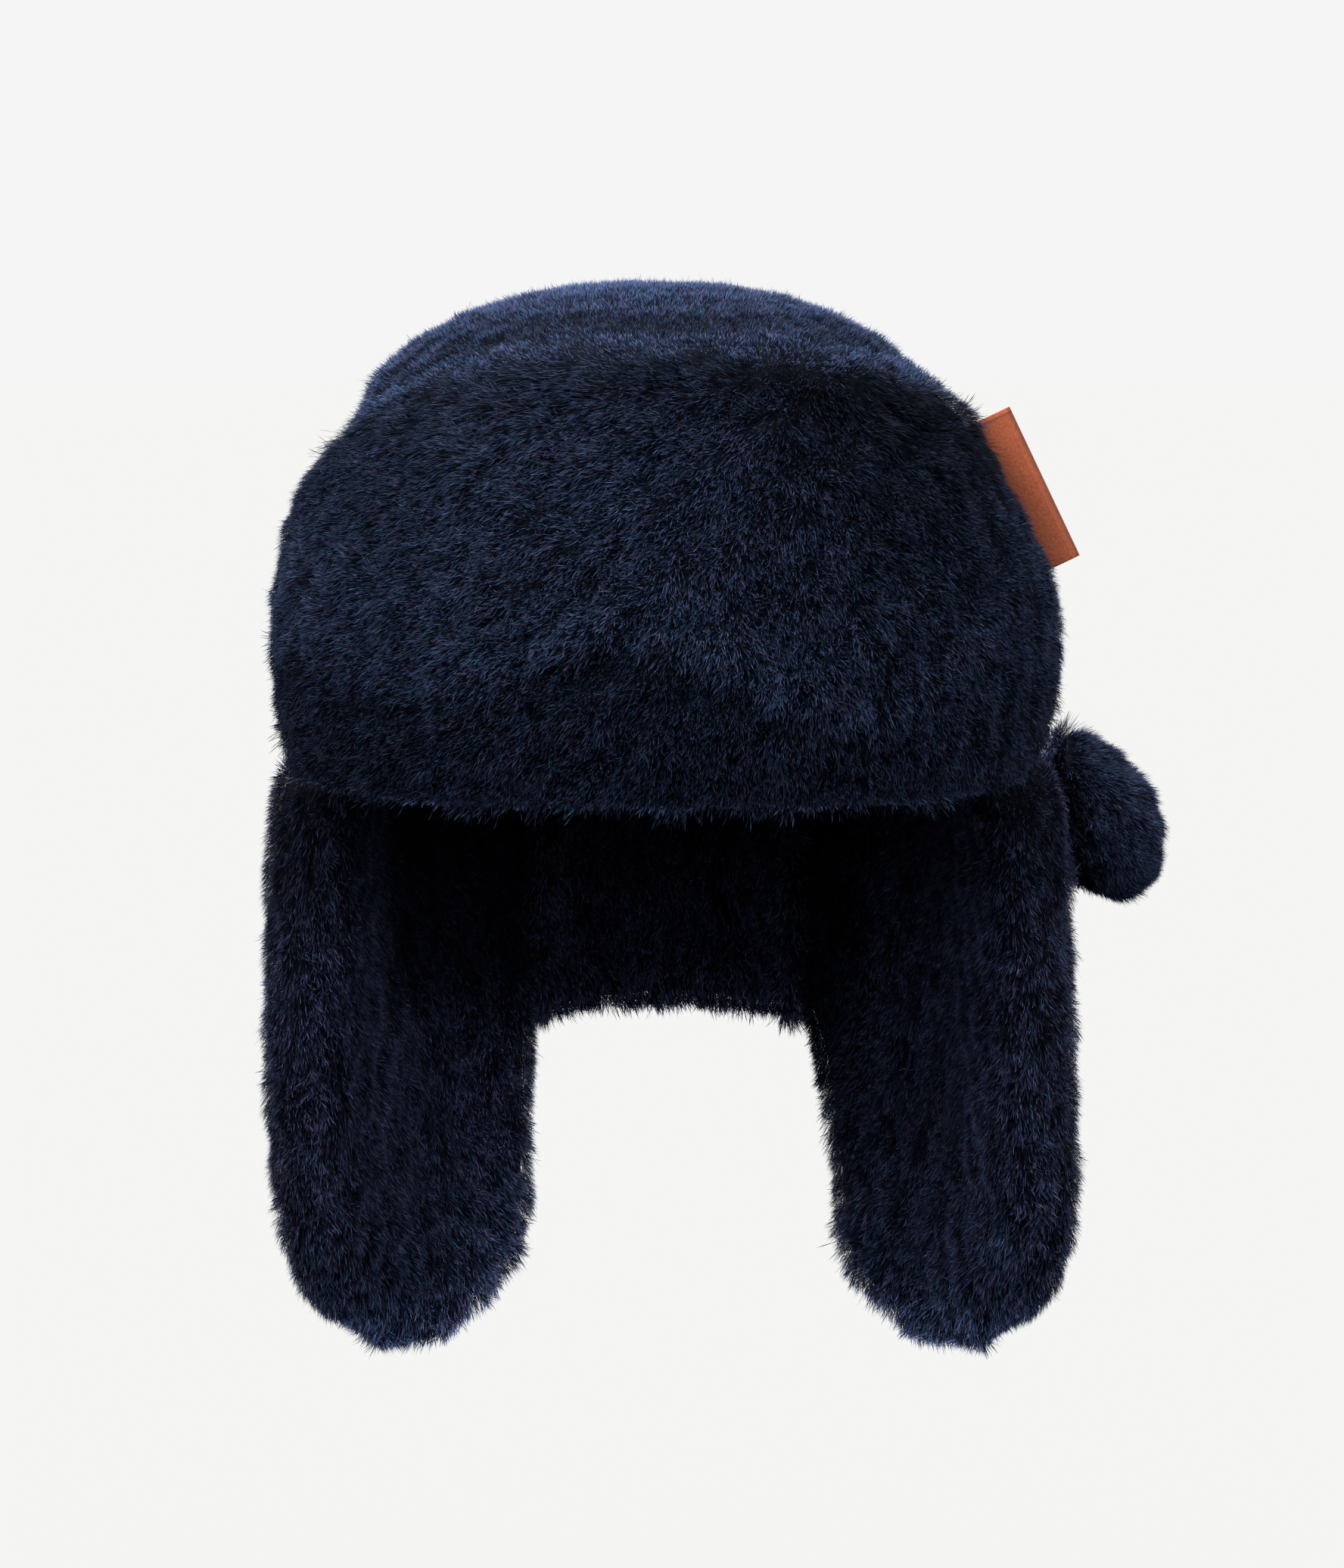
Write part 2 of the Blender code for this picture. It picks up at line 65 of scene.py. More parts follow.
# Backing: it lies INSET inside a solid, but overlaps a neighbour that lies within COVERED_WITHIN, sewn to it
WELD = 0.01 * MM
VOXEL = 3.2 * MM
INSET = 3.6 * MM
SEAM_OVERLAP = 0.9 * MM
COVERED_WITHIN = 8 * MM
COVERED_ROUNDS = 4
# How often a backing's shape is evened, by what share each time, and by what share it then swells again
EVEN_ROUNDS = 10
EVEN_SHARE, SWELL_SHARE = 0.5, 0.52

# Strands: their width and the shares of it that they may have, how far up they are widest, and their length
STRAND_WIDTH = 0.21 * MM
WIDTH_RANGE = (0.7, 1.25)
SHOULDER = 0.78
SHORTEST, LONGEST = 1.5 * MM, 10 * MM
# How high above the backing their tips stand, as a share of INSET and its spread, and how much that rises and
# falls over a wave
TIP_HEIGHT, TIP_SPREAD = 1.13, 0.12
SWELL, SWELL_WAVE = 0.4 * MM, 12 * MM
# Some strands are fuzz, longer and thinner than the rest
FUZZ_SHARE, FUZZ_LENGTH, FUZZ_WIDTH = 0.05, 1.25, 0.6
# How many strands root where a neighbour covers the backing, as a share of the usual
COVERED_SHARE = 0.08

# How strands lean, in degrees from upright: how much that drifts over a wave, varies and may come to, and the
# least share of a strand's length that is taken to be its height
DRIFT_WAVE = 7 * MM
LEAN_DRIFT, LEAN_SPREAD = 6, 8
LEAN_RANGE = (2, 78)
LEAST_RISE = 0.3
# How much their way along the skin drifts over the same wave, and how much each strand turns aside on its own
WAY_DRIFT = 0.5
TURN_SPREAD = 0.2
# The pile is wavy: strands that stand together turn aside together, in waves of these sizes, by these shares
WAVES = ((1.3 * MM, 0.42), (3.4 * MM, 0.34))
# Strands pull together into tufts of these sizes, by these shares
TUFTS = ((2.4 * MM, 0.07), (5.5 * MM, 0.1))
# They gather into streaks that lie along them, fine ones in broader locks: how wide these are, how much their
# strands are taller, and how much paler
STREAK, STREAK_HEIGHT, STREAK_SHADE = 1.1 * MM, 0.3 * MM, 0.09
LOCK, LOCK_HEIGHT, LOCK_SHADE = 2.8 * MM, 0.4 * MM, 0.04
# A streak's noise is the mean of places along the strand's way, so many widths of the streak from its root
STREAK_STEPS = np.linspace(-2.4, 2.4, 7)
# How strands face: the skin's way out, turned up a little and each its own way
FACE_UP, FACE_SPREAD = 0.3, 0.3

# Shades of single strands, as shares of the fur's colour, and how they spread between these, as the two
# numbers of a beta distribution
DARKEST, PALEST = 0.08, 3.3
SHADE_SPREAD = (0.95, 2.3)
# How much the shade drifts over a wave
SHADE_DRIFT, SHADE_WAVE = 0.04, 10 * MM
# Hues of single strands from cool to warm, as shares of the fur's red, green and blue
HUES = (
    (0.0, (0.66, 1.10, 1.04)),
    (0.35, (0.94, 1.01, 1.04)),
    (0.6, (1.10, 0.98, 1.01)),
    (1.0, (1.45, 0.89, 0.90)),
)
# The middle hue, how much it drifts over a wave, and how much it varies from strand to strand
HUE_MIDDLE, HUE_SPREAD = 0.42, 0.42
HUE_DRIFT, HUE_WAVE = 0.25, 3 * MM

# The fur's colour at a strand's root, darker with the painted shade of the pile's depth, and at its tip, how
# far up it starts to change, how much light passes through, and the tint of its gloss
FUR_ROOT_PAINTED_SHADE = (0.0055, 0.008, 0.017)
FUR_TIP = (0.064, 0.089, 0.178)
TIP_COLOUR_FROM = 0.7
LIGHT_THROUGH = 0.5
GLOSS_TINT = (0.4, 0.55, 1, 1)
BACKING_DARK = (0.0015, 0.002, 0.004)
BACKING_PALE = (0.004, 0.006, 0.012)

# Label: the middle of its folded side, its slope, width and length, its two leather tones, how pale the
# leather is painted from seam to fold, with painted shade and a painted highlight, and how pale from its
# upper end to its lower, with a pale cut edge, the painted shadow of the loop's open end and a darker end
LABEL_FOLD = (108.3 * MM, -27 * MM, 81 * MM)
LABEL_SLOPE = math.radians(64.5)
LABEL_WIDTH = 15.3 * MM
LABEL_LENGTH = 47 * MM
LEATHER_PALE = (0.34, 0.085, 0.034)
LEATHER_DARK = (0.23, 0.051, 0.019)
LABEL_PAINTED_SHADE_AND_HIGHLIGHT = ((0.0, 0.4), (0.35, 0.55), (0.55, 0.85), (0.8, 1.15), (0.92, 1.0), (0.96, 0.7), (1.0, 0.55))
LABEL_CUT_EDGE_AND_PAINTED_SHADE = ((0.0, 1.5), (0.02, 1.4), (0.028, 0.6), (0.045, 1.05), (0.98, 1.0), (1.0, 0.7))

# Floor: it glows by itself, so that it is evenly pale as far as the horizon
FLOOR_Z = -0.3
FLOOR_RADIUS = 40.0
FLOOR_GLOW = 0.88
# How bright the studio is by the sine of the height above the horizon
SKY_BANDS = ((-1.0, 0.03), (-0.1, 0.03), (-0.03, 0.913), (0.06, 0.913), (0.13, 0.3), (0.5, 0.3), (0.75, 0.9))
# Lamps: name, place, size and power in watts
LAMPS = (
    ("overhead", (0, 0.1, 1.6), 1.2, 42),
    ("key", (-1.0, -1.3, 1.4), 1.0, 42),
    ("front_high", (0.4, -2.0, 1.15), 1.0, 12),
    ("cross_left", (-1.6, -1.2, 0.1), 0.8, 3),
    ("cross_right", (1.6, -1.2, 0.1), 0.8, 8),
    ("back_high", (0.3, 1.9, 0.9), 1.0, 10),
)


# Vectors and noise

# Noise repeats after so many waves
LATTICE = 32


def unit(v):
    """Vectors scaled to length 1, one in each row."""
    return v / np.maximum(np.linalg.norm(v, axis=-1, keepdims=True), 1e-9)


def dot(a, b):
    """The dot products of two sets of vectors, row by row, as a column."""
    return (a * b).sum(axis=1, keepdims=True)


def along_skin(direction, normal):
    """A direction laid onto the skin, at length 1."""
    return unit(direction - normal * dot(direction, normal))


def smoothstep(start, end, value):
    """0 before start, 1 after end, and a smooth rise between."""
    t = np.clip((value - start) / (end - start), 0, 1)
    return t * t * (3 - 2 * t)


def bump(distance, width):
    """1 at distance 0, falling to nothing past width."""
    return np.exp(-((distance / width) ** 2))


def noise(points, wave, seed):
    """Smooth noise from -1 to 1 at each point, with bumps about wave metres apart."""
    lattice = np.random.default_rng(seed).uniform(-1, 1, (LATTICE,) * 3)
    place = points / wave
    cell = np.floor(place).astype(int)
    t = place - cell
    t = t * t * (3 - 2 * t)
    total = np.zeros(len(points))
    for corner in itertools.product((0, 1), repeat=3):
        weight = np.prod(np.where(corner, t, 1 - t), axis=1)
        i, j, k = ((cell + corner) % LATTICE).T
        total += weight * lattice[i, j, k]
    return total


def noise_vector(points, wave, seed):
    """Three noises at each point, as a vector."""
    return np.stack([noise(points, wave, seed + axis) for axis in range(3)], axis=1)


def noise_slope(points, wave, seed):
    """How steeply the noise rises at each point along X, Y and Z, for one wave's length."""
    step = 0.1
    here = noise(points, wave, seed)
    there = [noise(points + step * wave * np.eye(3)[axis], wave, seed) for axis in range(3)]
    return (np.stack(there, axis=1) - here[:, None]) / step


def streaks(points, way, wave, seed):
    """Noise in streaks that lie along way, from about -1 to 1 at each point and about wave metres wide."""
    total = sum(noise(points + step * wave * way, wave, seed) for step in STREAK_STEPS)
    return total / math.sqrt(len(STREAK_STEPS))


# Materials

def feed(tree, node, inputs):
    """Sets a node's inputs, each by its name or number, to values or links them to other nodes' outputs."""
    for key, value in inputs.items():
        if isinstance(value, bpy.types.NodeSocket):
            tree.links.new(value, node.inputs[key])
        else:
            node.inputs[key].default_value = value


def add(tree, kind, inputs, **settings):
    """Adds a shader node with its settings and inputs."""
    made = tree.nodes.new("ShaderNode" + kind)
    for name, value in settings.items():
        setattr(made, name, value)
    feed(tree, made, inputs)
    return made


def ramp(tree, place, stops):
    """A ramp's colour at a place from 0 to 1. Each of its stops is a place and its red, green and blue."""
    made = add(tree, "ValToRGB", {"Fac": place})
    elements = made.color_ramp.elements
    elements[0].position = stops[0][0]
    elements[-1].position = stops[-1][0]
    for at, _ in stops[1:-1]:
        elements.new(at)
    for element, (_, colour) in zip(elements, stops):
        element.color = (*colour, 1)
    return made.outputs["Color"]


def greys(stops):
    """Stops for a ramp from pairs of a place and a brightness."""
    return [(at, (share,) * 3) for at, share in stops]


def vector_math(tree, operation, first, second):
    """Two vectors multiplied, subtracted or the like, number by number."""
    return add(tree, "VectorMath", {0: first, 1: second}, operation=operation).outputs["Vector"]


def share_of(tree, value, start, end):
    """How far a value has come from start to end, from 0 to 1."""
    return add(tree, "MapRange", {"Value": value, "From Min": start, "From Max": end}).outputs["Result"]


def shader(name):
    """A new material, its node tree and its Principled shader."""
    made = bpy.data.materials.new(name)
    made.use_nodes = True
    return made, made.node_tree, made.node_tree.nodes["Principled BSDF"]


def fur_material(name):
    """Fur: darker toward the roots with the painted shade of the pile's depth, brighter at the tips, and each
    strand its own shade and hue.
    """
    made, tree, bsdf = shader(name)
    shade_map, hue_map = (add(tree, "UVMap", {}, uv_map=layer).outputs["UV"] for layer in ("Strand", "Hue"))
    shade = add(tree, "SeparateXYZ", {0: shade_map})
    hue = add(tree, "SeparateXYZ", {0: hue_map})
    # From root to tip: painted shade of the pile's depth, then the tip's colour
    rise = ramp(tree, shade.outputs["Y"], ((TIP_COLOUR_FROM, FUR_ROOT_PAINTED_SHADE), (1, FUR_TIP)))
    hued = vector_math(tree, "MULTIPLY", rise, ramp(tree, hue.outputs["X"], HUES))
    scaled = add(tree, "VectorMath", {0: hued, "Scale": shade.outputs["X"]}, operation="SCALE")
    tint = scaled.outputs["Vector"]
    feed(tree, bsdf, {
        "Base Color": tint,
        "Roughness": 0.6,
        "Specular IOR Level": 0.06,
        "Specular Tint": GLOSS_TINT,
    })
    through = add(tree, "BsdfTranslucent", {"Color": tint})
    both = add(tree, "MixShader", {"Fac": LIGHT_THROUGH, 1: bsdf.outputs["BSDF"], 2: through.outputs["BSDF"]})
    feed(tree, tree.nodes["Material Output"], {"Surface": both.outputs["Shader"]})
    return made


def backing_material(name):
    """The woven backing and the fine underfur close to it."""
    made, tree, bsdf = shader(name)
    place = add(tree, "TexCoord", {}).outputs["Object"]
    grain = add(tree, "TexNoise", {"Vector": place, "Scale": 900, "Detail": 3}).outputs["Fac"]
    relief = add(tree, "Bump", {"Strength": 0.8, "Distance": 1 * MM, "Height": grain})
    feed(tree, bsdf, {
        "Base Color": ramp(tree, grain, ((0.35, BACKING_DARK), (0.7, BACKING_PALE))),
        "Normal": relief.outputs["Normal"],
        "Roughness": 0.85,
        "Specular IOR Level": 0.1,
    })
    return made


def leather_material(name):
    """Tan leather with a fine grain. From seam to fold it has painted shade where the fur shades it and the
    loop curves away, a painted highlight near the fold and painted shade at the fold's edge. Its upper end
    has a pale cut edge and then the painted shadow of the loop's open end, and its lower end is darker.
    """
    made, tree, bsdf = shader(name)
    place = add(tree, "TexCoord", {}).outputs["Object"]
    cells = add(tree, "TexVoronoi", {"Vector": place, "Scale": 1400}).outputs["Distance"]
    cloud = add(tree, "TexNoise", {"Vector": place, "Scale": 160, "Detail": 4}).outputs["Fac"]
    clouds = add(tree, "MapRange", {"Value": cloud, "To Min": 0.75, "To Max": 1.25}).outputs["Result"]

    from_fold = vector_math(tree, "SUBTRACT", place, LABEL_FOLD)
    sine, cosine = math.sin(LABEL_SLOPE), math.cos(LABEL_SLOPE)
    across, along = (
        add(tree, "VectorMath", {0: from_fold, 1: axis}, operation="DOT_PRODUCT").outputs["Value"]
        for axis in ((sine, 0, cosine), (cosine, 0, -sine))
    )
    # Across the label: painted shade and a painted highlight from seam to fold
    bands = ramp(tree, share_of(tree, across, -LABEL_WIDTH, 0), greys(LABEL_PAINTED_SHADE_AND_HIGHLIGHT))
    # Along it: a pale cut edge, the painted shadow of the loop's open end, and a darker lower end
    ends = ramp(tree, share_of(tree, along, -LABEL_LENGTH / 2, LABEL_LENGTH / 2), greys(LABEL_CUT_EDGE_AND_PAINTED_SHADE))

    colour = ramp(tree, cells, ((0, LEATHER_PALE), (1, LEATHER_DARK)))
    for share in (clouds, bands, ends):
        colour = vector_math(tree, "MULTIPLY", colour, share)
    relief = add(tree, "Bump", {"Strength": 0.4, "Distance": 0.12 * MM, "Height": cells}, invert=True)
    feed(tree, bsdf, {
        "Base Color": colour,
        "Normal": relief.outputs["Normal"],
        "Roughness": 0.45,
        "Specular IOR Level": 0.3,
    })
    return made


# Backings

def welded(node):
    """A copy of a node's mesh with its split corners joined."""
    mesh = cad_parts[node].data.copy()
    work = bmesh.new()
    work.from_mesh(mesh)
    bmesh.ops.remove_doubles(work, verts=work.verts, dist=WELD)
    work.to_mesh(mesh)
    work.free()
    mesh.materials.clear()
    return mesh


def triangles(mesh):
    """A mesh's vertices, vertex normals and triangles as arrays."""
    mesh.calc_loop_triangles()
    places = np.empty(len(mesh.vertices) * 3, np.float32)
    mesh.vertices.foreach_get("co", places)
    normals = np.empty(len(mesh.vertices) * 3, np.float32)
    mesh.vertex_normals.foreach_get("vector", normals)
    corners = np.empty(len(mesh.loop_triangles) * 3, np.int32)
    mesh.loop_triangles.foreach_get("vertices", corners)
    return places.reshape(-1, 3).astype(float), normals.reshape(-1, 3).astype(float), corners.reshape(-1, 3)


def put(mesh, places):
    """Moves a mesh's vertices to the given places."""
    mesh.vertices.foreach_set("co", places.astype(np.float32).ravel())
    mesh.update()


def spread(mesh, values, rounds, shares):
    """Values at a mesh's vertices, one in each row, drawn to the mean of those along its edges so many times
    over, each time by every one of the shares. A share below 0 draws them away from it, so that a shape that
    is evened by turns with the two doesn't shrink."""
    ends = np.empty(len(mesh.edges) * 2, np.int32)
    mesh.edges.foreach_get("vertices", ends)
    start, end = ends.reshape(-1, 2).T
    count = np.bincount(ends, minlength=len(values))
    for _ in range(rounds):
        for share in shares:
            for column in values.T:
                total = np.bincount(start, column[end], len(column))
                total += np.bincount(end, column[start], len(column))
                column += share * (total / count - column)
    return values


def neighbours(node):
    """One search tree over every other node's solid."""
    places, faces, first = [], [], 0
    for name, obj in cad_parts.items():
        if name == node:
            continue
        points, _, corners = triangles(obj.data)
        places.append(points)
        faces.append(corners + first)
        first += len(points)
    return BVHTree.FromPolygons(np.concatenate(places).tolist(), np.concatenate(faces).tolist())


def cover(node, mesh):
    """How far each vertex of a node's backing is covered by a neighbour, from 0 to 1."""
    tree = neighbours(node)
    places, normals, _ = triangles(mesh)
    covered = np.zeros((len(places), 1))
    for vertex, (place, out) in enumerate(zip(places, normals)):
        hit = tree.ray_cast(Vector(place), Vector(out), COVERED_WITHIN)[0]
        covered[vertex] = hit is not None
    return spread(mesh, covered, COVERED_ROUNDS, (EVEN_SHARE,))[:, 0]


def backing(node, material):
    """A smooth copy of a cloth node that replaces it, drawn in by the pile's depth where the pile is open.
    Returns it with how far each of its vertices is covered by a neighbour."""
    obj = bpy.data.objects.new(node + "_backing", welded(node))
    bpy.context.scene.collection.objects.link(obj)
    remesh = obj.modifiers.new("remesh", "REMESH")
    remesh.mode = "VOXEL"
    remesh.voxel_size = VOXEL
    bpy.context.view_layer.update()
    shaped = bpy.data.meshes.new_from_object(obj.evaluated_get(bpy.context.evaluated_depsgraph_get()))
    obj.modifiers.clear()
    obj.data = shaped
    put(shaped, spread(shaped, triangles(shaped)[0], EVEN_ROUNDS, (EVEN_SHARE, -SWELL_SHARE)))
    covered = cover(node, shaped)
    places, normals, _ = triangles(shaped)
    put(shaped, places - normals * (INSET * (1 - covered) - SEAM_OVERLAP * covered)[:, None])
    shaped.materials.append(material)
    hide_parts(node)
    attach(obj, "root")
    return obj, covered


# Pile

def scatter(skin, covered, count, density, rng):
    """Points on a backing with their normals and cover, spread by area and by density(points, normals)."""
    places, normals, corners = triangles(skin.data)
    a, b, c = places[corners[:, 0]], places[corners[:, 1]], places[corners[:, 2]]
    across = np.cross(b - a, c - a)
    area = np.linalg.norm(across, axis=1) / 2
    share = 1 - (1 - COVERED_SHARE) * covered[corners].mean(axis=1)
    weight = area * density((a + b + c) / 3, unit(across)) * share
    chosen = corners[rng.choice(len(corners), count, p=weight / weight.sum())]
    s, t = rng.random(count), rng.random(count)
    s, t = np.where(s + t > 1, 1 - s, s), np.where(s + t > 1, 1 - t, t)
    shares = np.stack([1 - s - t, s, t], axis=1)
    roots = (places[chosen] * shares[:, :, None]).sum(axis=1)
    normal = unit((normals[chosen] * shares[:, :, None]).sum(axis=1))
    return roots, normal, (covered[chosen] * shares).sum(axis=1)


def strand_mesh(name, root, tip, width, facing, normal, tint, hue):
    """Thin blades of one triangle each, from a root past a shoulder to a tip, that face the facing vectors
    and are shaded by the normals. The map Strand holds tint and height, and the map Hue holds hue."""
    count = len(root)
    side = unit(np.cross(facing, tip - root)) * width[:, None]
    shoulder = root + SHOULDER * (tip - root) + side
    places = np.stack([root, shoulder, tip], axis=1).reshape(-1, 3)
    corners = np.arange(len(places), dtype=np.int32)
    mesh = bpy.data.meshes.new(name)
    mesh.vertices.add(len(places))
    mesh.vertices.foreach_set("co", places.astype(np.float32).ravel())
    mesh.loops.add(len(corners))
    mesh.loops.foreach_set("vertex_index", corners.reshape(-1, 3)[:, [0, 2, 1]].ravel())
    mesh.polygons.add(count)
    mesh.polygons.foreach_set("loop_start", corners[::3])
    mesh.update(calc_edges=True)
    up = np.tile([0.0, 1.0, SHOULDER], count)
    for layer_name, values in (("Strand", tint), ("Hue", hue)):
        layer = mesh.uv_layers.new(name=layer_name)
        layer.data.foreach_set("uv", np.stack([np.repeat(values, 3), up], axis=1).astype(np.float32).ravel())
    mesh.normals_split_custom_set_from_vertices(np.repeat(normal, 3, axis=0).astype(np.float32))
    return mesh


def pile(node, skin, covered, count, groom, material, density, sunk, seed):
    """A fur of count strands on a backing. groom(roots, normals) gives what comb() returns, and sunk is the
    share of its height that a strand loses where a neighbour covers it. Each noise has its own seed."""
    rng = np.random.default_rng(seed)
    root, normal, cover = scatter(skin, covered, count, density, rng)
    way, lean, taller, tone_and_painted_light, tufty, warm = groom(root, normal)

    way = along_skin(way + WAY_DRIFT * noise_vector(root, DRIFT_WAVE, seed + 11), normal)
    lean = lean + LEAN_DRIFT * noise(root, DRIFT_WAVE, seed + 5) + rng.normal(0, LEAN_SPREAD, count)
    lean = np.radians(np.clip(lean, *LEAN_RANGE))[:, None]
    direction = normal * np.cos(lean) + way * np.sin(lean) + rng.normal(0, TURN_SPREAD, (count, 3))
    for wave, share in WAVES:
        direction += share * noise_vector(root, wave, seed + 31)
    for wave, share in TUFTS:
        direction += along_skin(noise_slope(root, wave, seed + 3), normal) * (share * tufty)[:, None]
    direction = unit(direction)

    fuzz = rng.random(count) < FUZZ_SHARE
    streak = streaks(root, way, STREAK, seed + 17)
    lock = streaks(root, way, LOCK, seed + 13)
    height = INSET * rng.normal(TIP_HEIGHT, TIP_SPREAD, count) + taller
    height += SWELL * noise(root, SWELL_WAVE, seed + 7)
    height += tufty * (STREAK_HEIGHT * streak + LOCK_HEIGHT * lock)
    height *= np.where(fuzz, FUZZ_LENGTH, 1) * (1 - sunk * cover)
    rise = np.maximum(dot(direction, normal)[:, 0], LEAST_RISE)
    tip = root + direction * np.clip(height / rise, SHORTEST, LONGEST)[:, None]

    facing = unit(normal + FACE_UP * UP + rng.normal(0, FACE_SPREAD, (count, 3)))
    ribbon = unit(facing - direction * dot(facing, direction))
    shading = unit(normal + ribbon)
    tint = rng.beta(*SHADE_SPREAD, count) ** tufty * (0.15 + 0.85 * tufty)
    tint += STREAK_SHADE * streak + LOCK_SHADE * lock + SHADE_DRIFT * noise(root, SHADE_WAVE, seed + 9)
    # Each strand's shade, scaled by how pale its groom paints it: painted light and shade
    tint = (DARKEST + (PALEST - DARKEST) * np.clip(tint, 0, 1)) * tone_and_painted_light
    hue = HUE_MIDDLE + warm + HUE_DRIFT * noise(root, HUE_WAVE, seed + 21) + rng.normal(0, HUE_SPREAD, count)
    width = STRAND_WIDTH * rng.uniform(*WIDTH_RANGE, count) * np.where(fuzz, FUZZ_WIDTH, 1)

    mesh = strand_mesh(node + "_pile", root, tip, width, facing, shading, tint, np.clip(hue, 0, 1))
    mesh.materials.append(material)
    obj = bpy.data.objects.new(mesh.name, mesh)
    bpy.context.scene.collection.objects.link(obj)
    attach(obj, "root")


# How each piece is combed. A groom takes the strands' roots and the skin's normals there. Its x, y and z are
# in millimetres, and its left and right are the viewer's, while the frame's names go by the wearer.

# The flap: where its pile parts, and as x and z from side to side its top edge, and the soft fold under which
# its lower part is given painted shade
PARTING = np.array([48, 0, 135]) * MM
CREST = np.array([
    (-101, 91), (-83, 108), (-59, 117.5), (-30, 123.5), (30, 124.5), (57, 121.5), (79, 114.5), (99, 94),
])
FOLD = np.array([
    (-99, 34), (-78, 28), (-58, 24), (-37, 32), (-12, 43), (4, 38), (25, 28), (46, 19), (58, 17), (77, 25),
    (103, 31),
])
# Patches of painted shade where the flap's pile lies darkest, and a second below: the middle's x and z, size
# and share of shade
PAINTED_SHADE_PATCHES = ((63, 94, 30, 1), (68, 60, 18, 0.7))
# How pale the flap's pile is painted in its middle and at least, and how much painted shade each part takes
# away; a weight below 0 gives painted light
FLAP_PAINTED_LIGHT, FLAP_LEAST = 1.3, 0.16
FLAP_PAINTED_SHADES = {
    "upper": 0.2,
    "top": 0.31,
    "right": 0.46,
    "patches": 0.25,
    "low": 0.47,
    "low_middle": 0.13,
    "crease": 0.18,
    "ridge": -0.24,
    "left": 0.19,
    "right_side": 0.15,
}
# The crown: how pale it is painted outside, a painted light from overhead, how much painted shade its front
# takes behind the flap and at its foot, and how pale the hollow is painted, deep in painted shade
CROWN_PAINTED_LIGHT, BEHIND_FLAP_PAINTED_SHADE, FOOT_PAINTED_SHADE, HOLLOW_PAINTED_SHADE = 2.2, 0.3, 0.7, 0.25
# The ear flaps: the seam between outer strip and inner face, how pale their pile is painted, and how much
# paler each part is painted than that, as painted light; where the weight is below 0, darker
EAR_SEAM_X = 96
EAR_PAINTED_LIGHT = 1.48
EAR_PAINTED_LIGHT_AND_SHADE = {
    "inner": 0.4,
    "seam": -0.12,
    "end": 2.7,
    "right_flap": 0.2,
    "right_middle": 0.4,
    "right_outer": 0.6,
    "left_tip": 0.3,
    "left_edge": 2.2,
}


def millimetres(points):
    """The x, y and z of points in millimetres."""
    return (points / MM).T


def comb(way, lean, taller=0, tone_and_painted_light=1, tufty=1, warm=0):
    """What a groom returns: for each strand its way along the skin, its lean in degrees from 0 upright to 90
    flat, how much it is taller than most, how pale its colour is painted, as painted light and shade, and how
    much tuftier and warmer in hue."""
    return way, *(np.broadcast_to(value, len(way)) for value in (lean, taller, tone_and_painted_light, tufty, warm))


def weighed(parts, weights):
    """The sum of masks, each times the weight of the same name."""
    return sum(weights[name] * mask for name, mask in parts.items())


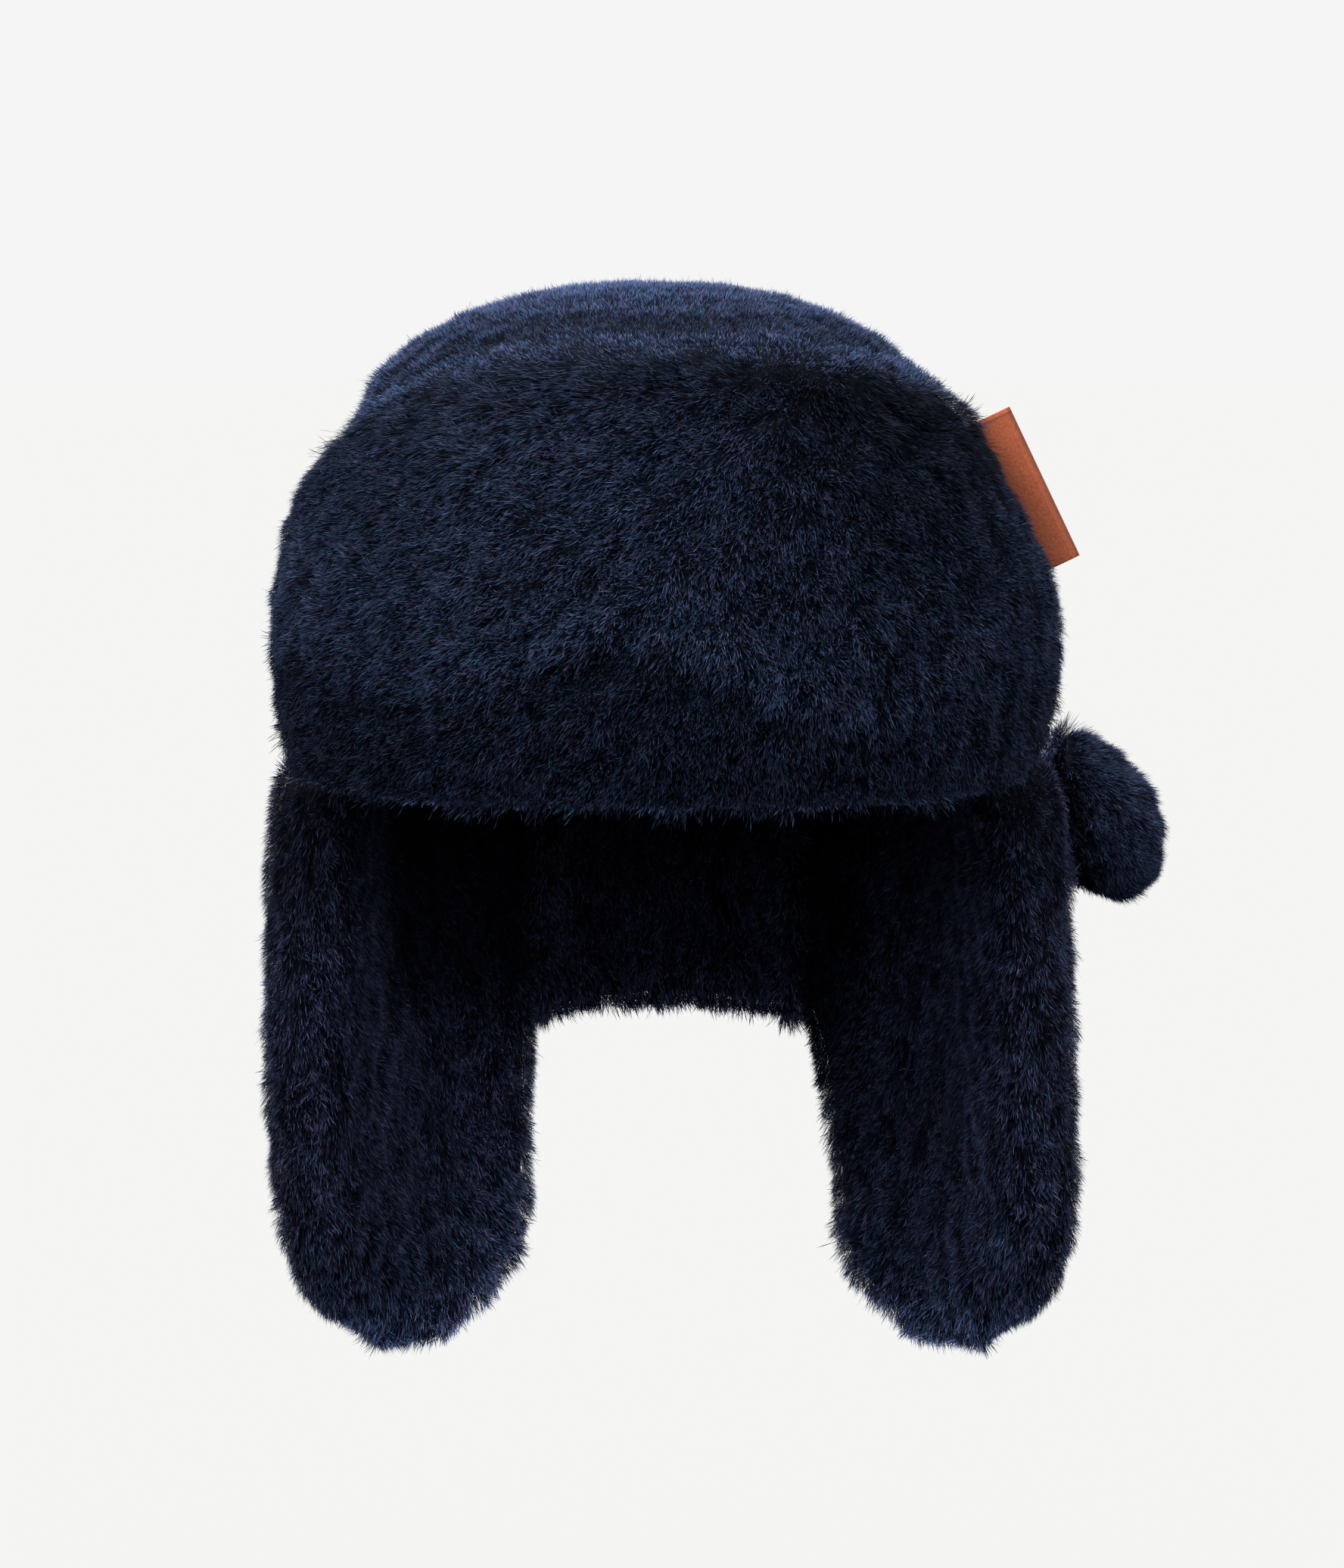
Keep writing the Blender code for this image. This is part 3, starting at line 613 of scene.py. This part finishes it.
def groom_flap(root, normal):
    """Parted high on one side. The top edge stands up and has a painted highlight, and the pile has painted
    shade high up, under the crest, toward the right and the sides, in patches and under the fold, with
    painted light on the ridge and the hem. Each mask is 1 in the part that it is named for and 0 elsewhere."""
    way = root - PARTING
    way[:, 1] = 0
    way[:, 2] = np.minimum(way[:, 2], -0.6 * np.abs(way[:, 0]) - 5 * MM)
    x, _, z = millimetres(root)
    turn = smoothstep(0, 50, x)

    # The top edge, where the pile stands up. below is how far the solid's own surface lies under the crest
    below = np.interp(x, *CREST.T) - z - INSET / MM * normal[:, 2]
    depth = 6.2 + 2.3 * turn
    edge = smoothstep(depth + 1.5, depth - 1.5, below) * (1 - turn * smoothstep(2, -1.5, below))
    edge *= smoothstep(0.05, 0.35, normal[:, 2]) * smoothstep(-92, -80, x)
    # The top edge is painted paler, a painted highlight where the overhead light catches the upright pile
    edge_painted_highlight = 1.9 + 0.6 * bump(x - 5, 25) - 0.25 * smoothstep(30, 75, x)

    # The lower part. under is how far the root lies under the fold
    under = np.interp(x, *FOLD.T) - z
    front = smoothstep(-0.8, -0.4, normal[:, 2]) * (normal[:, 1] < 0.3)
    low = smoothstep(-2.5, 3, under) * front * (1 - 0.65 * smoothstep(58, 80, x))
    crease = bump(under - 5, 5) * smoothstep(45, 15, np.abs(x - 4)) * front
    ridge = bump(under + 7, 6) * smoothstep(70, 30, np.abs(x + 5)) * front
    # The hem faces down, and its pile is painted paler there, a painted light
    hem = smoothstep(-0.5, -0.85, normal[:, 2])

    # Masks for painted shade: the upper part, the top under the crest, the right, the patches, the low part
    # and the crease under the fold, and the two sides; the ridge's weight is below 0, a painted highlight
    upper = smoothstep(62, 102, z)
    right = smoothstep(0, 60, x) * smoothstep(35, 80, z)
    patches = sum(share * bump(np.hypot(x - at_x, z - at_z), size) for at_x, at_z, size, share in PAINTED_SHADE_PATCHES)
    flap_painted_shade = weighed({
        "upper": upper,
        "top": smoothstep(28, 12, below) * smoothstep(-75, -30, x) * (1 - 0.4 * turn),
        "right": right,
        "patches": patches,
        "low": low,
        "low_middle": low * bump(x + 14, 26),
        "crease": crease,
        "ridge": ridge,
        "left": smoothstep(-30, -85, x) * (1 + smoothstep(45, 80, z)),
        "right_side": smoothstep(80, 96, x),
    }, FLAP_PAINTED_SHADES)
    tone_and_painted_light = np.maximum(FLAP_PAINTED_LIGHT - flap_painted_shade, FLAP_LEAST) * (1 - edge) + edge_painted_highlight * edge + 0.8 * hem

    lean = (34 + 22 * upper) * (1 - edge) + 18 * edge
    taller = 0.1 * edge - 1.2 * crease + 0.9 * ridge - 0.4 * low
    taller -= 0.8 * turn * smoothstep(1.5, -1.5, below)
    taller += 1.2 * smoothstep(74, 86, x) * smoothstep(96, 104, z)
    tufty = 1 + 0.35 * low + 0.35 * right * (1 - edge) - 0.3 * edge
    return comb(unit(way), lean, taller * MM, tone_and_painted_light, tufty)


def groom_crown(root, normal):
    """Out and down from the top, standing nearly upright. Painted pale outside, where the overhead light
    falls, with painted shade behind the flap and at the foot, and deep painted shade inside the hollow.
    """
    way = root * [1, 1, 0] + [0, 0.01, -0.3]
    x, y, z = millimetres(root)
    outside = outside_crown(root, normal)
    front = smoothstep(0, -30, y) * (0.5 + 0.5 * smoothstep(-60, -25, x))
    # Painted shade on the crown's front, behind the flap's top edge and at its foot; the hollow is painted
    # darker still, a painted shade
    shade = BEHIND_FLAP_PAINTED_SHADE * smoothstep(134, 127, z) + FOOT_PAINTED_SHADE * smoothstep(127, 123, z)
    tone_and_painted_light = np.where(outside > 0.5, CROWN_PAINTED_LIGHT - shade * front, HOLLOW_PAINTED_SHADE)
    return comb(unit(way), lean=18, taller=0.2 * MM * outside, tone_and_painted_light=tone_and_painted_light, tufty=0.45)


def groom_ear(root, normal):
    """Straight down on the outer strip, down and inward on the broad inner face, with a seam between."""
    x, _, z = millimetres(root)
    side, x = np.sign(x), np.abs(x)
    inner = smoothstep(0, 0.8, -normal[:, 0] * side) * smoothstep(-160, -135, z)
    inward = inner * (0.3 + 0.5 * smoothstep(-60, -130, z))
    way = np.stack([-side * inward - 1.1 * normal[:, 0], np.zeros(len(root)), -np.ones(len(root))], axis=1)
    way += noise_vector(root, 30 * MM, 77) * [0.8, 0.8, 0.35]

    seam = bump(x - EAR_SEAM_X, 1.2) * smoothstep(-115, -95, z) * (normal[:, 1] < 0)
    tip = smoothstep(-115, -150, z)
    right = side > 0
    # Painted light and shade over the ear flap's pile, part by part
    tone_and_painted_light = EAR_PAINTED_LIGHT + weighed({
        "inner": inner,
        "seam": seam,
        "end": smoothstep(-150, -168, z),
        "right_flap": right,
        "right_middle": right * smoothstep(92, 80, x) * bump(z + 92, 22),
        "right_outer": right * smoothstep(84, 94, x) * smoothstep(-65, -45, z),
        "left_tip": ~right * tip,
        "left_edge": ~right * smoothstep(74, 50, x) * smoothstep(-75, -100, z),
    }, EAR_PAINTED_LIGHT_AND_SHADE)

    # Fur that faces forward or inward gets painted shade for the front flap's shadow, and its hidden parts
    # more painted shade for the ear flap's own
    facing = np.maximum(inner, normal[:, 1] < 0)
    hidden_painted_shade = right * smoothstep(66, 52, x) * smoothstep(-116, -92, z)
    hidden_painted_shade = hidden_painted_shade + ~right * smoothstep(92, 80, x) * smoothstep(-80, -60, z)
    tone_and_painted_light *= (1 - 0.7 * hidden_painted_shade * facing) * flap_painted_shadow(z, facing)
    taller = 0.6 * tip - 0.3 * seam + 1.4 * right * smoothstep(62, 54, x) * bump(z + 102, 14)
    return comb(way, lean=52, taller=taller * MM, tone_and_painted_light=tone_and_painted_light, tufty=1.3 + 0.1 * tip, warm=0.2 - 0.14 * tip)


def flap_painted_shadow(z, facing):
    """The front flap's painted shadow: how pale fur is painted by its height in millimetres, where it faces
    forward or inward.
    """
    return 1 - 0.55 * smoothstep(-60, -20, z) * facing


def groom_neck(root, normal):
    """Straight down, and outward at the ends, so that the pile closes up to the ear flaps."""
    way = np.tile(-UP, (len(root), 1)) + noise_vector(root, 20 * MM, 31) * [0.35, 0, 0]
    end = neck_end(root)
    way[:, 0] += 0.8 * np.sign(root[:, 0]) * end
    # The neck flap's pile is painted pale, with the front flap's painted shadow on fur that faces forward
    tone_and_painted_light = 2.1 * flap_painted_shadow(root[:, 2] / MM, normal[:, 1] < 0)
    return comb(way, lean=42, taller=2 * MM * end, tone_and_painted_light=tone_and_painted_light, tufty=1.3, warm=0.26)


def groom_tab(root, normal):
    """Out from the ear flap and down, longest at its end."""
    way = np.tile([0.75, -0.1, -0.65], (len(root), 1))
    end = smoothstep(-5, -35, root[:, 2] / MM)
    return comb(way, lean=48, taller=(0.3 + 0.8 * end) * MM, tone_and_painted_light=1.1, tufty=1.1 + 0.2 * end)


def neck_end(points):
    """1 at the neck flap's two ends and 0 between them."""
    return smoothstep(35 * MM, 39 * MM, np.abs(points[:, 0]))


def outside_crown(points, normals):
    """1 where the crown's skin faces outward and 0 inside the head hollow."""
    outward = (normals * (points - 40 * MM * UP)).sum(axis=1)
    return np.where(outward > 0, 1.0, 0.0)


def even_density(points, normals):
    """As many strands everywhere."""
    return np.ones(len(points))


def ear_density(points, normals):
    """Fuller on the thin inner edge and at the tip, which are seen against the light."""
    inner = -normals[:, 0] * np.sign(points[:, 0])
    return 1 + 0.7 * smoothstep(0.75, 0.95, inner) + 0.5 * smoothstep(0.4, 0.8, -normals[:, 2])


def crown_density(points, normals):
    """Full outside the crown and sparse inside the head hollow."""
    return np.maximum(outside_crown(points, normals), 0.22)


def neck_density(points, normals):
    """Fuller at the neck flap's ends."""
    return 1 + 5 * neck_end(points)


# Everything

def cloth():
    """The backings and piles of the six fur pieces."""
    fur = fur_material("navy_fur")
    back = backing_material("navy_backing")
    plan = (
        # node, strands, groom, density, sunk
        ("front_flap", 197000, groom_flap, even_density, 0.7),
        ("crown", 190000, groom_crown, crown_density, 0.7),
        ("ear_flap_left", 180000, groom_ear, ear_density, 0.1),
        ("ear_flap_right", 180000, groom_ear, ear_density, 0.1),
        ("neck_flap", 75000, groom_neck, neck_density, 0),
        ("chin_tab", 36000, groom_tab, even_density, 0.6),
    )
    for place, (node, count, groom, density, sunk) in enumerate(plan):
        skin, covered = backing(node, back)
        pile(node, skin, covered, count, groom, fur, density, sunk, seed=100 * place)


def label():
    """The leather loop keeps its CAD shape and gets its leather."""
    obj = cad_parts["label"]
    obj.data.materials.clear()
    obj.data.materials.append(leather_material("tan_leather"))


def floor():
    """A wide pale floor below the hat."""
    mesh = bpy.data.meshes.new("floor")
    work = bmesh.new()
    bmesh.ops.create_circle(work, cap_ends=True, segments=64, radius=FLOOR_RADIUS)
    work.to_mesh(mesh)
    work.free()
    obj = bpy.data.objects.new("floor", mesh)
    bpy.context.scene.collection.objects.link(obj)
    obj.location.z = FLOOR_Z
    pale, tree, bsdf = shader("pale_floor")
    feed(tree, bsdf, {
        "Base Color": (0.05, 0.05, 0.05, 1),
        "Specular IOR Level": 0,
        "Emission Color": (1, 1, 0.98, 1),
        "Emission Strength": FLOOR_GLOW,
    })
    mesh.materials.append(pale)
    obj.visible_diffuse = False
    obj.visible_glossy = False
    obj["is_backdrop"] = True


def sky():
    """A studio all round, by height: dark below, pale at the horizon, dim above it and bright overhead."""
    world = bpy.data.worlds.new("studio")
    bpy.context.scene.world = world
    world.use_nodes = True
    tree = world.node_tree
    place = add(tree, "TexCoord", {}).outputs["Generated"]
    height = add(tree, "SeparateXYZ", {0: place}).outputs["Z"]
    bands = [((at + 1) / 2, glow) for at, glow in SKY_BANDS]
    glow = ramp(tree, share_of(tree, height, -1, 1), greys(bands))
    feed(tree, tree.nodes["Background"], {"Color": glow, "Strength": 1})


def lamp(name, place, size, power, lit):
    """A square soft light aimed at the hat, which lights only what is in the collection lit."""
    data = bpy.data.lights.new(name, "AREA")
    data.size = size
    data.energy = power
    obj = bpy.data.objects.new(name, data)
    bpy.context.scene.collection.objects.link(obj)
    obj.location = place
    obj.rotation_euler = (-Vector(place)).to_track_quat("-Z", "Y").to_euler()
    obj.light_linking.receiver_collection = lit


def studio():
    """The soft lights. The floor is left out of them, so that it stays evenly pale."""
    hat = bpy.data.collections.new("hat")
    bpy.context.scene.collection.children.link(hat)
    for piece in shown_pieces():
        hat.objects.link(piece)
    for name, place, size, power in LAMPS:
        lamp(name, place, size, power, hat)


def camera():
    """The photograph's view: level with the brow, looking down by CAMERA_ELEVATION."""
    data = bpy.data.cameras.new("camera")
    data.sensor_width = SENSOR
    data.lens = SENSOR * CAMERA_DISTANCE / (PHOTO_HEIGHT * PIXEL)
    obj = bpy.data.objects.new("camera", data)
    bpy.context.scene.collection.objects.link(obj)
    forward = Vector((0, math.cos(CAMERA_ELEVATION), -math.sin(CAMERA_ELEVATION)))
    above = Vector((0, math.sin(CAMERA_ELEVATION), math.cos(CAMERA_ELEVATION)))
    right = (PHOTO_WIDTH / 2 - ORIGIN_ACROSS) * PIXEL
    up = (ORIGIN_DOWN - PHOTO_HEIGHT / 2) * PIXEL
    obj.location = Vector((right, 0, 0)) + above * up - forward * CAMERA_DISTANCE
    obj.rotation_euler = forward.to_track_quat("-Z", "Y").to_euler()
    bpy.context.scene.camera = obj


cloth()
label()
floor()
sky()
studio()
camera()
bpy.context.scene.view_settings.view_transform = "Standard"
